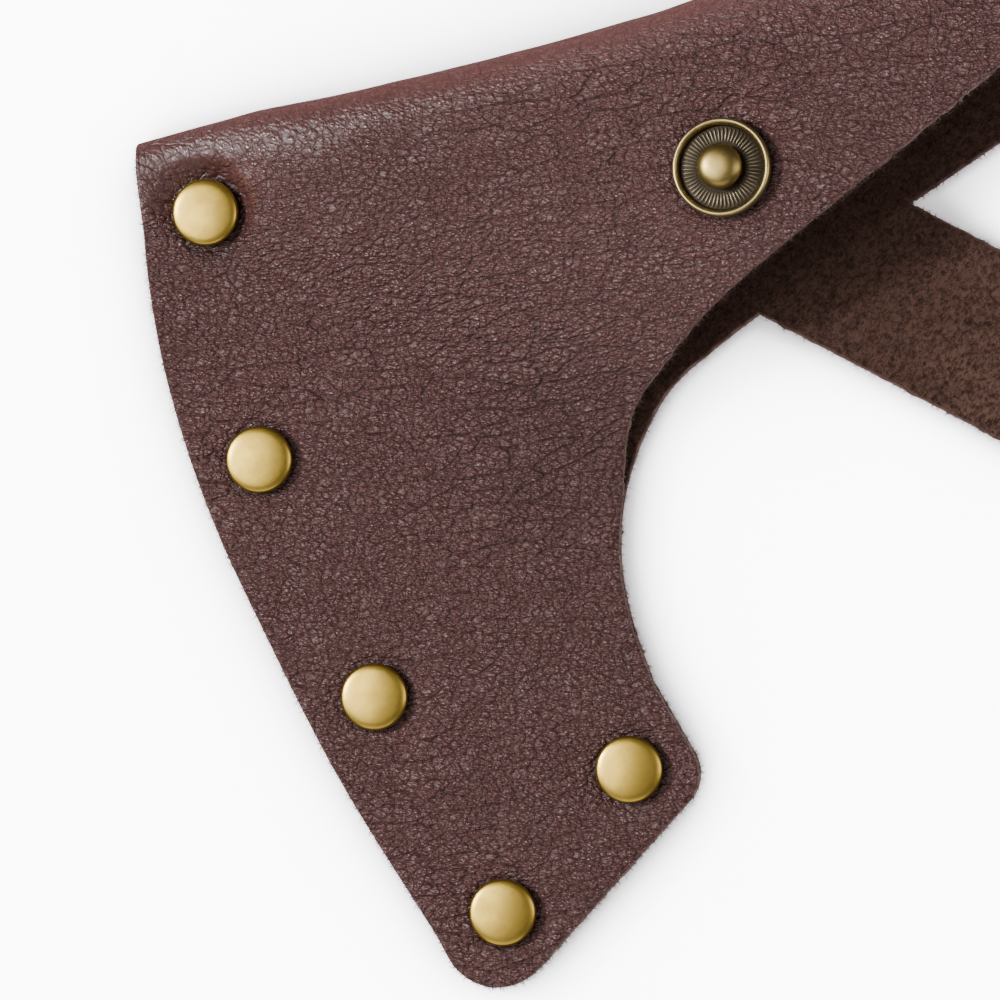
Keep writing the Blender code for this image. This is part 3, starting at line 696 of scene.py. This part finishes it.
def fibre_tree():
    """Loose fibres over a mesh: bent hairs that stand out of its faces at random angles."""
    tree, given = nodes_tree(
        "loose_fibres", Geometry="Geometry", Density="Float", Longest="Float", Thickness="Float", Seed="Int",
        Material="Material")

    def node(kind, settings=None, output=0, **sockets):
        return new_node(tree, kind, settings, **sockets).outputs[output]

    def maths(operation, *values):
        return node("ShaderNodeMath", {"operation": operation}, **numbered(values))

    spots = new_node(
        tree, "GeometryNodeDistributePointsOnFaces", Mesh=given["Geometry"], Density=given["Density"],
        Seed=given["Seed"]).outputs
    bend = {"Start": (0, 0, 0), "Middle": (0.05, 0, 0.6), "End": (0.45, 0, 0.95)}
    arc = node("GeometryNodeCurveQuadraticBezier", Resolution=3, **bend)
    taper = new_node(tree, "GeometryNodeSplineParameter").outputs["Factor"]
    thin = node("ShaderNodeMapRange", Value=taper, To_Min=1.0, To_Max=0.25)
    radius = maths("MULTIPLY", maths("DIVIDE", given["Thickness"], given["Longest"]), thin)
    profile = node("GeometryNodeCurvePrimitiveCircle", Resolution=3, Radius=1.0)
    tapered = node("GeometryNodeSetCurveRadius", Curve=arc, Radius=radius)
    hair = node("GeometryNodeCurveToMesh", Curve=tapered, Profile_Curve=profile, Fill_Caps=True, Scale=radius)
    widest = {"0": (-0.9, -0.9, -3.14), "1": (0.9, 0.9, 3.14)}
    spin = node("FunctionNodeRandomValue", {"data_type": "FLOAT_VECTOR"}, Seed=given["Seed"], **widest)
    turned = node(
        "FunctionNodeRotateRotation", {"rotation_space": "LOCAL"}, Rotation=spots["Rotation"], Rotate_By=spin)
    shortest = {"2": 0.25, "3": 1.0}
    size = node("FunctionNodeRandomValue", {"data_type": "FLOAT"}, 1, Seed=given["Seed"], **shortest)
    placed = node(
        "GeometryNodeInstanceOnPoints", Points=spots["Points"], Instance=hair, Rotation=turned,
        Scale=maths("MULTIPLY", size, given["Longest"]))
    real = node("GeometryNodeRealizeInstances", Geometry=placed)
    dyed = node("GeometryNodeSetMaterial", Geometry=real, Material=given["Material"])
    new_node(tree, "NodeGroupOutput", **{"0": dyed})
    return tree


FIBRES = fibre_tree()


def made_by(tree, name, data=None, **sizes):
    """What a Geometry Nodes tree makes of a mesh, as a plain object without the modifier."""
    made = bpy.data.objects.new(name, data or bpy.data.meshes.new(name))
    bpy.context.scene.collection.objects.link(made)
    modifier = made.modifiers.new("nodes", "NODES")
    modifier.node_group = tree
    given = {item.name: item.identifier for item in tree.interface.items_tree if item.in_out == "INPUT"}
    for key, value in sizes.items():
        modifier[given[key.replace("_", " ")]] = value
    bpy.context.view_layer.update()
    plain = bpy.data.meshes.new_from_object(made.evaluated_get(bpy.context.evaluated_depsgraph_get()))
    made.modifiers.remove(modifier)
    made.data = plain
    plain.name = name
    return made


FINE_FIBRES = {"Density": 4.0e6, "Longest": 1.0 * MM, "Thickness": 0.036 * MM}
TUFTS = {"Density": 1.3e6, "Longest": 0.7 * MM, "Thickness": 0.085 * MM}
CUT_EDGE_SLOT = 1


def grown(name, source, **sizes):
    """Loose fibres on the cut edge of a piece of leather."""
    kept = bmesh.new()
    kept.from_mesh(source.data)
    others = [face for face in kept.faces if face.material_index != CUT_EDGE_SLOT]
    bmesh.ops.delete(kept, geom=others, context="FACES")
    data = bpy.data.meshes.new(name)
    kept.to_mesh(data)
    kept.free()
    return made_by(FIBRES, name, data, Material=loose_fibre, **sizes)


blank, cut_from, cut_to = blank_outline()
cut_middle = np.array(unfold(STRAP_ROOT + ALONG * STUB, -1))
cuts = [(cut_from, cut_to, cut_middle)]
sheath = leather_mesh("sheath_leather", blank, cuts, [pebbled_grain, cut_edge, suede])
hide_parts("sheath_body")
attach(sheath, "sheath")
sheath_fuzz = grown("sheath_edge_fibres", sheath, **FINE_FIBRES, Seed=11)
sheath_tufts = grown("sheath_edge_tufts", sheath, **TUFTS, Seed=12)
for fibres in (sheath_fuzz, sheath_tufts):
    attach(fibres, "sheath")


# ---------------------------------------------------------------------------------------------------------
# Rivet caps. Five 9 mm double-cap rivets of antiqued brass: a nearly flat, faintly domed cap with a rolled
# rim, pulled down into the grain so that the leather stands round it like a cushion.
# ---------------------------------------------------------------------------------------------------------
CAP_HEIGHT = 1.8 * MM
CAP_SINK = 0.34 * MM  # the leather's dent under the cap
AROUND = 96


def lathe(name, profile, place, material, around=AROUND, tilt=None, close=True):
    """A turned piece from (radius, height) pairs in mm, from axis to axis unless closed on itself."""
    rings, faces, points = [], [], []
    angles = np.arange(around) * 2 * pi / around
    for radius, height in profile:
        if radius == 0.0:
            rings.append([len(points)])
            points.append((0.0, 0.0, height * MM))
            continue
        rings.append(list(range(len(points), len(points) + around)))
        points += [(radius * MM * cos(a), radius * MM * sin(a), height * MM) for a in angles]
    pairs = list(zip(rings, rings[1:])) + ([] if close else [(rings[-1], rings[0])])
    for one, two in pairs:
        for step in range(around):
            after = (step + 1) % around
            if len(one) == 1:
                faces.append((one[0], two[after], two[step]))
            elif len(two) == 1:
                faces.append((one[step], one[after], two[0]))
            else:
                faces.append((one[step], one[after], two[after], two[step]))
    points = np.array(points)
    if tilt is not None:
        points = points @ np.array(tilt).T
    points = points + np.array(place)
    return mesh_piece(name, points, faces, [material])


def rounded(profile, bevels):
    """The same profile with some corners rounded: bevels gives a radius in millimetres by corner number."""
    made = []
    for number, corner in enumerate(profile):
        radius = bevels.get(number, 0.0)
        if not radius:
            made.append(corner)
            continue
        here, before, after = Vector(corner), Vector(profile[number - 1]), Vector(profile[number + 1])
        one, two = before - here, after - here
        reach = min(radius, one.length * 0.48, two.length * 0.48)
        start, end = here + one.normalized() * reach, here + two.normalized() * reach
        for step in range(5):
            t = step / 4
            made.append(tuple(start * (1 - t) ** 2 + here * 2 * t * (1 - t) + end * t * t))
    return made


def brass_finish(name, light, dark, tarnish=0.5, brushed=1.0, polish=0.20):
    """Antiqued brass: fine brushing and handling marks, darker where the tarnish wasn't rubbed off."""
    finish = Finish(name)
    place = finish.object_mm()
    cloud = finish.noise(place, 2.6, 3.0, 0.6, 1.0)
    speck = finish.noise(place, 0.25, 3.0, 0.65, 2.0)
    streak = finish.noise(finish.object_mm((3.0, 0.10, 1.0), radians(24.0)), 0.55, 3.0, 0.6, 3.0)
    marks = finish.noise(finish.object_mm((0.07, 2.4, 1.0), radians(-9.0)), 0.6, 2.0, 0.6, 4.0)
    scratch = marks.step(0.60, 0.68)
    wear_and_painted_light = cloud.step(0.30, 0.72) * (1.0 - tarnish)
    wear_and_painted_light = wear_and_painted_light + streak.step(0.25, 0.75) * 0.25 * brushed + tarnish * 0.35
    tone = finish.mixed(wear_and_painted_light, dark, light)
    tone = finish.mixed(speck.step(0.62, 0.75) * 0.35, tone, dark)
    tone = finish.mixed(scratch * 0.18, tone, tuple(min(c * 1.25, 0.95) for c in light))
    rough = polish + streak * 0.08 + speck * 0.08 + (1.0 - wear_and_painted_light) * 0.12
    normal = finish.bump(streak * 0.6 + speck * 0.4, 0.005, 0.7, finish.bump(cloud, 0.012, 0.6))
    return finish.done(Base_Color=tone, Roughness=rough, Metallic=1.0, Normal=normal)


antique_brass = brass_finish("antique_brass", (0.60, 0.400, 0.070), (0.33, 0.212, 0.038), 0.5, 1.3, 0.20)
for number, rivet in enumerate(RIVETS, 1):
    top = FRONT_TOP / MM + CAP_HEIGHT / MM
    seat = FRONT_TOP / MM - CAP_SINK / MM
    # From the middle of the domed top, out over the rolled rim, under it and back along the hollow inside
    outside = [(0.0, top), (1.6, top - 0.05), (3.0, top - 0.17), (3.75, top - 0.29), (4.3, top - 0.50)]
    outside += [(4.5, top - 0.90), (4.46, seat + 0.45), (4.28, seat + 0.10), (4.0, seat)]
    outside += [(3.6, seat + 0.12), (0.0, seat + 0.12)]
    turned = rounded(outside, {3: 0.3, 4: 0.3, 5: 0.3, 6: 0.2, 7: 0.2, 8: 0.2})[::-1]
    cap = lathe(f"rivet_cap_{number}_brass", turned, (*(rivet + PLAN_TO_FRAME), 0.0), antique_brass)
    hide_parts(f"rivet_cap_{number}")
    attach(cap, "sheath")

# ---------------------------------------------------------------------------------------------------------
# Rivet tubes. Each cap is pressed onto a hollow tube that comes up through both panels from a flat domed
# foot under the back panel. The tube and foot carry a darker, scuffed brass.
# ---------------------------------------------------------------------------------------------------------
scuffed_brass = brass_finish("scuffed_brass", (0.38, 0.275, 0.090), (0.17, 0.115, 0.036), 0.6, 1.0, 0.24)
for number, rivet in enumerate(RIVETS, 1):
    up = UNDERSIDE / MM
    seat = FRONT_TOP / MM - CAP_SINK / MM - 0.05
    outside = [(0.0, 0.06), (1.1, 0.06), (1.45, 0.0), (3.4, 0.04), (4.2, 0.32), (4.5, 0.8), (4.46, up - 0.12)]
    outside += [(4.2, up + 0.02), (1.75, up + 0.02), (1.6, up + 0.3), (1.55, seat), (0.0, seat)]
    turned = rounded(outside, {3: 0.4, 4: 0.3, 5: 0.25, 6: 0.15, 7: 0.15, 9: 0.15})
    tube = lathe(f"rivet_tube_{number}_brass", turned, (*(rivet + PLAN_TO_FRAME), 0.0), scuffed_brass, 72)
    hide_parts(f"rivet_tube_{number}")
    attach(tube, "sheath")

# ---------------------------------------------------------------------------------------------------------
# Snap stud. A raised brass rim round a dark dished floor with about sixty stamped radial ribs, and a brass
# ball on a darker neck in the middle. The tarnish stays in the dish and is rubbed off the rim and the ball.
# ---------------------------------------------------------------------------------------------------------
stud_up = Vector((-sin(STUD_TILT) * SWING.x, -sin(STUD_TILT) * SWING.y, cos(STUD_TILT)))
stud_turn = Vector((0.0, 0.0, 1.0)).rotation_difference(stud_up).to_matrix()
stud_place = (*(STUD + PLAN_TO_FRAME), STUD_HEIGHT)
dark_brass = brass_finish("dark_brass", (0.060, 0.048, 0.034), (0.018, 0.014, 0.010), 0.7, 0.0, 0.34)
rib_brass = brass_finish("rib_brass", (0.30, 0.25, 0.17), (0.10, 0.08, 0.05), 0.5, 0.0, 0.26)
rim_profile = [(5.6, 0.35), (5.62, 0.95), (5.72, 1.45), (5.98, 1.74), (6.16, 1.78), (6.36, 1.66), (6.5, 1.30)]
rim_profile += [(6.5, 0.30), (6.32, -0.12), (5.9, -0.16), (5.62, 0.02)]
rim_brass = brass_finish("rim_brass", (0.50, 0.39, 0.17), (0.25, 0.185, 0.075), 0.5, 1.0, 0.24)
rim = lathe("stud_rim", rim_profile, stud_place, rim_brass, 128, stud_turn, False)
dish_profile = [(0.0, -0.14), (5.7, -0.14), (5.7, 0.55), (5.35, 0.62), (2.9, 0.78), (2.35, 0.62), (0.0, 0.62)]
dish = lathe("stud_dish", dish_profile, stud_place, dark_brass, 128, stud_turn)
ball_profile = [(0.0, 0.5), (2.75, 0.55), (2.35, 0.80), (2.2, 1.15), (2.25, 1.42), (2.62, 1.72), (2.9, 2.10)]
ball_profile += [(3.0, 2.5), (2.93, 2.95), (2.72, 3.30), (2.35, 3.60), (1.85, 3.82), (1.2, 3.94)]
ball_profile += [(0.6, 3.99), (0.0, 4.0)]
ball = lathe("stud_ball", rounded(ball_profile, {5: 0.3}), stud_place, scuffed_brass, 96, stud_turn)


def rib_tree():
    """Ribs in a ring: a spindle-shaped bar at each point of a circle, pointing outwards."""
    tree, given = nodes_tree(
        "radial_ribs", Count="Int", Ring_Radius="Float", Rib_Length="Float", Rib_Width="Float", Rise="Float",
        Material="Material")

    def node(kind, settings=None, **sockets):
        return new_node(tree, kind, settings, **sockets).outputs[0]

    circle = node("GeometryNodeMeshCircle", Vertices=given["Count"], Radius=given["Ring Radius"])
    place = node("GeometryNodeInputPosition")
    aim = node("FunctionNodeAlignRotationToVector", {"axis": "X"}, Vector=place)
    bar = node("GeometryNodeMeshIcoSphere", Radius=0.5, Subdivisions=2)
    sized = node("ShaderNodeCombineXYZ", X=given["Rib Length"], Y=given["Rib Width"], Z=given["Rise"])
    ring = node("GeometryNodeInstanceOnPoints", Points=circle, Instance=bar, Rotation=aim, Scale=sized)
    real = node("GeometryNodeRealizeInstances", Geometry=ring)
    dyed = node("GeometryNodeSetMaterial", Geometry=real, Material=given["Material"])
    new_node(tree, "NodeGroupOutput", **{"0": dyed})
    return tree


RIB_COUNT = 58
RIB_SIZES = {
    "Ring_Radius": 4.25 * MM, "Rib_Length": 2.3 * MM, "Rib_Width": 0.30 * MM, "Rise": 0.5 * MM}
RIB_HEIGHT = 0.70 * MM  # the ribs' middles, above the panel
ribs = made_by(rib_tree(), "stud_ribs", Count=RIB_COUNT, Material=rib_brass, **RIB_SIZES)
raised = Matrix.Translation((0.0, 0.0, RIB_HEIGHT))
ribs.data.transform(Matrix.Translation(stud_place) @ stud_turn.to_4x4() @ raised)
ribs.data.shade_smooth()
for piece in (rim, dish, ball, ribs):
    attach(piece, "sheath")
    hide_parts("snap_stud")

# ---------------------------------------------------------------------------------------------------------
# Stud eyelet. The stud's post comes through the front panel and is rolled over a flat ring inside, out of
# sight in the pocket. The same brass, dark all over because nothing rubs it.
# ---------------------------------------------------------------------------------------------------------
inside = -LEATHER / MM
eyelet_profile = [(1.0, -0.1), (1.7, -0.1), (1.7, inside + 0.1), (5.0, inside + 0.05), (5.0, inside - 0.35)]
eyelet_profile += [(2.2, inside - 0.55), (1.9, inside - 1.0), (1.4, inside - 1.05), (1.0, inside - 0.7)]
eyelet = lathe("eyelet_brass", eyelet_profile[::-1], stud_place, dark_brass, 72, stud_turn, False)
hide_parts("stud_eyelet")
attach(eyelet, "sheath")

# ---------------------------------------------------------------------------------------------------------
# Strap. The same leather carries on from the back panel, flesh side up: dark suede with a lifted nap, cut
# edges with loose fibres, and the grain underneath.
# ---------------------------------------------------------------------------------------------------------
STRAP_REACH = (SNAP - STRAP_ROOT).length
STRAP_JOINTS = ["root_lift", "strap_wrap", "wrap_2", "wrap_3", "wrap_4", "wrap_5", "snap_press"]
slant = hinge_axis.to_2d().dot(ALONG) / hinge_axis.to_2d().dot(ACROSS)


def strap_place(along, across, skewed=1.0):
    """A place in plan this far along the strap and across it, on a row that runs as the hinges do."""
    return STRAP_ROOT + ALONG * (along + across * slant * skewed) + ACROSS * across


def hinge_reach(joint):
    """How far along the strap's middle a joint's hinge is."""
    place = Vector(joint["pos_m"]).to_2d() - PLAN_TO_FRAME - STRAP_ROOT
    across = place.dot(ACROSS)
    return place.dot(ALONG) - across * slant


def strap_run(name, start, end, first, last):
    """One closed run of the strap between two rows, the last one ending in the rounded tip."""
    half = STRAP_WIDTH / 2
    skew = 0.0 if first else 1.0
    near_row = straight(strap_place(start, half, skew), strap_place(start, -half, skew))
    near_row.append(strap_place(start, -half, skew))
    if last:
        away = [SNAP + Matrix.Rotation(pi * step / 36, 2) @ (-ACROSS * half) for step in range(37)]
        outline = near_row[:-1] + straight(near_row[-1], away[0])
        outline += away[:-1] + straight(away[-1], near_row[0])
    else:
        low, high = strap_place(end, -half), strap_place(end, half)
        far_row = straight(low, high)
        outline = near_row[:-1] + straight(near_row[-1], low)
        far = len(outline)
        outline += far_row + straight(high, near_row[0])
    blank = np.array([unfold(point, -1) for point in outline])
    cuts = [(0, len(near_row), np.array(unfold(strap_place(start, 0.0), -1)))]
    if not last:
        cuts.append((far, far + len(far_row) + 1, np.array(unfold(strap_place(end, 0.0), -1))))
    return leather_mesh(name, blank, cuts, [pebbled_grain, cut_edge, suede, loose_fibre], 3.0 * MM)


def with_fibres(piece, seed):
    """The piece with loose fibres and thicker tufts on its cut edge, as one mesh."""
    fine = grown("fine_fibres", piece, **FINE_FIBRES, Seed=seed)
    tufts = grown("tufts", piece, **TUFTS, Seed=seed + 40)
    both = bmesh.new()
    both.from_mesh(piece.data)
    own = len(both.faces)
    for fibres in (fine, tufts):
        both.from_mesh(fibres.data)
        bpy.data.objects.remove(fibres)
    for number, face in enumerate(both.faces):
        if number >= own:
            face.material_index = 3
    both.to_mesh(piece.data)
    both.free()


reaches = [hinge_reach(joints[name]) for name in STRAP_JOINTS]
ends = [STUB] + [(one + two) / 2 for one, two in zip(reaches, reaches[1:])] + [STRAP_REACH]
for number, name in enumerate(STRAP_JOINTS):
    joint, last = joints[name], name == STRAP_JOINTS[-1]
    run = strap_run(f"strap_run_{number + 1}", ends[number], ends[number + 1], number == 0, last)
    with_fibres(run, 20 + number)
    reach = min(reaches[number] - ends[number], ends[number + 1] - reaches[number], 6.0 * MM) * 0.98
    hinge = Vector((*(strap_place(reaches[number], 0.0) + PLAN_TO_FRAME), BACK_TOP))
    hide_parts(joint["child"])
    hinge - SWING * reach
    hinge + SWING * reach
    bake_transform(run)

# ---------------------------------------------------------------------------------------------------------
# Snap cap. A domed brass button under the strap's grain side. Its hollow post comes up through the leather
# and is rolled out over the socket's floor.
# ---------------------------------------------------------------------------------------------------------
flesh = BACK_TOP / MM
under = UNDERSIDE / MM
snap_place = (*(SNAP + PLAN_TO_FRAME), 0.0)
cap_profile = [(0.0, 0.0), (2.6, 0.03), (4.8, 0.16), (6.4, 0.46), (7.2, 0.86), (7.5, 1.3), (7.42, 1.62)]
cap_profile += [(7.0, 1.76), (1.75, 1.76), (1.55, under), (1.55, flesh + 0.72), (1.9, flesh + 0.86)]
cap_profile += [(2.6, flesh + 0.80), (2.75, flesh + 1.02), (2.4, flesh + 1.26), (1.7, flesh + 1.3)]
cap_profile += [(1.1, flesh + 1.0), (1.05, flesh + 0.3), (0.0, flesh + 0.25)]
cap_profile = rounded(cap_profile, {4: 0.3, 5: 0.3, 6: 0.2, 10: 0.1, 13: 0.2, 15: 0.2})
snap_cap = lathe("snap_cap_brass", cap_profile, snap_place, antique_brass)
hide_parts("snap_cap")
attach(snap_cap, "strap_tip")

# ---------------------------------------------------------------------------------------------------------
# Snap socket. A brass drum on the flesh side with a flange below, a rolled mouth above and a hollow inside
# where the spring ring sits. The stud's ball is pushed in through the mouth.
# ---------------------------------------------------------------------------------------------------------
socket_profile = [(2.9, 0.06), (6.1, 0.04), (6.3, 0.18), (6.28, 0.5), (6.0, 0.66), (5.5, 0.74), (5.24, 1.0)]
socket_profile += [(5.2, 3.5), (5.08, 4.0), (4.75, 4.30), (4.25, 4.35), (3.75, 4.22), (3.5, 3.92)]
socket_profile += [(3.45, 3.55), (3.6, 3.30), (4.4, 3.2), (4.6, 3.0), (4.6, 1.1), (4.4, 0.85), (2.9, 0.76)]
socket_place = (*(SNAP + PLAN_TO_FRAME), BACK_TOP)
socket = lathe("snap_socket_brass", socket_profile, socket_place, antique_brass, 120, None, False)
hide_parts("snap_socket")
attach(socket, "strap_tip")

# ---------------------------------------------------------------------------------------------------------
# Socket spring. A split ring of spring steel wire, loose inside the drum, that opens round the ball's
# widest part and closes under it. Drawn wire: bright, with fine lines along it.
# ---------------------------------------------------------------------------------------------------------
steel = Finish("spring_wire")
drawn = steel.noise(steel.object_mm((1.0, 1.0, 0.15)), 0.3, 3.0, 0.6, 1.0)
steel_tone = steel.mixed(drawn.step(0.3, 0.7), (0.30, 0.29, 0.28), (0.52, 0.51, 0.49))
spring_wire = steel.done(
    Base_Color=steel_tone, Roughness=0.26 + drawn * 0.15, Metallic=1.0, Normal=steel.bump(drawn, 0.004))
low, high = (Vector(corner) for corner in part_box("socket_spring"))
WIRE_R = (high.z - low.z) / 2
RING_R = (high.x - low.x) / 2 - WIRE_R
SPLIT = radians(14.0)
turns, sides = 96, 12
points, faces = [], []
for step in range(turns + 1):
    angle = SPLIT + (2 * pi - 2 * SPLIT) * step / turns
    for side in range(sides):
        around = 2 * pi * side / sides
        reach = RING_R + WIRE_R * cos(around)
        points.append((reach * cos(angle), reach * sin(angle), WIRE_R * sin(around)))
for step in range(turns):
    for side in range(sides):
        one, two = step * sides + side, step * sides + (side + 1) % sides
        faces.append((one, one + sides, two + sides, two))
faces.append(tuple(range(sides)))
faces.append(tuple(range(turns * sides, (turns + 1) * sides))[::-1])
spring = mesh_piece("spring_ring", np.array(points) + np.array((low + high) / 2), faces, [spring_wire])
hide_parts("socket_spring")
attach(spring, "strap_tip")


# ---------------------------------------------------------------------------------------------------------
# Table, light and camera. A plain pale table that glows a little, with a painted shadow that darkens its glow
# close to the part, under a large soft lamp and a small one at the left, and two weak ones, seen almost from
# straight above.
# ---------------------------------------------------------------------------------------------------------
VIEW_TURN = radians(-15.0)
VIEW_MIDDLE = Vector((34.3, -57.4))  # in the sheath's own plan, in millimetres


def plan(right, up):
    """From millimetres on the table, right of and above the middle of the view, to the frame's plan."""
    return (VIEW_MIDDLE + Matrix.Rotation(VIEW_TURN, 2) @ Vector((right, up))) * MM + PLAN_TO_FRAME


floor_mesh = bpy.data.meshes.new("table")
floor_mesh.from_pydata([(-2, -2, 0), (2, -2, 0), (2, 2, 0), (-2, 2, 0)], [], [(0, 1, 2, 3)])
floor = bpy.data.objects.new("table", floor_mesh)
bpy.context.scene.collection.objects.link(floor)
table_finish = Finish("pale_table")
# Painted shadow: the table's glow is darkened by ambient occlusion near the part.
clear = table_finish.node("ShaderNodeAmbientOcclusion", {"samples": 16}, 1, Distance=34 * MM)
glow_and_painted_shadow = table_finish.mixed(clear.step(0.45, 1.0), (0.06, 0.06, 0.065), (1.0, 1.0, 1.0))
floor_mesh.materials.append(table_finish.done(
    Base_Color=(0.90, 0.90, 0.90, 1.0), Roughness=0.8, Emission_Color=glow_and_painted_shadow, Emission_Strength=9.0))
floor.visible_glossy = False


def lamp(name, size, place, height, power):
    """A soft lamp over a place in plan, aimed at the middle of the view."""
    light = bpy.data.lights.new(name, "AREA")
    light.shape = "RECTANGLE"
    light.size, light.size_y = size
    light.energy = power
    made = bpy.data.objects.new(name, light)
    made.location = (place.x, place.y, height)
    made.rotation_euler = (middle.to_3d() - Vector(made.location)).to_track_quat("-Z", "Y").to_euler()
    bpy.context.scene.collection.objects.link(made)


middle = plan(0.0, 0.0)
lamp("key_softbox", (0.72, 0.90), plan(-525.0, 70.0), 0.86, 11.5)
lamp("small_lamp", (0.14, 0.14), plan(-720.0, 190.0), 0.72, 12.0)
lamp("right_softbox", (0.4, 0.9), plan(760.0, 40.0), 0.42, 3.5)
lamp("low_fill", (0.9, 0.5), plan(-60.0, -760.0), 0.5, 2.0)
world = bpy.data.worlds.new("studio")
bpy.context.scene.world = world
world.use_nodes = True
background = world.node_tree.nodes["Background"]
fill(world.node_tree, background, {"Color": (0.93, 0.95, 1.0, 1.0), "Strength": 0.12})

EYE_HEIGHT = 0.80
AIM_HEIGHT = 6 * MM
VIEW_WIDTH = 0.13333
lens = bpy.data.cameras.new("camera")
camera = bpy.data.objects.new("camera", lens)
eye = plan(93.3, -2.7)
camera.location = (eye.x, eye.y, EYE_HEIGHT)
aim = Vector((middle.x, middle.y, AIM_HEIGHT))
forward = (aim - camera.location).normalized()
upward = Vector((-sin(VIEW_TURN), cos(VIEW_TURN), 0.0))
right = forward.cross(upward).normalized()
up = right.cross(forward)
camera.rotation_euler = Matrix((right, up, -forward)).transposed().to_euler()
lens.sensor_width = 36.0
lens.lens = lens.sensor_width * (aim - camera.location).length / VIEW_WIDTH
lens.clip_start = 0.01
bpy.context.scene.collection.objects.link(camera)
bpy.context.scene.camera = camera
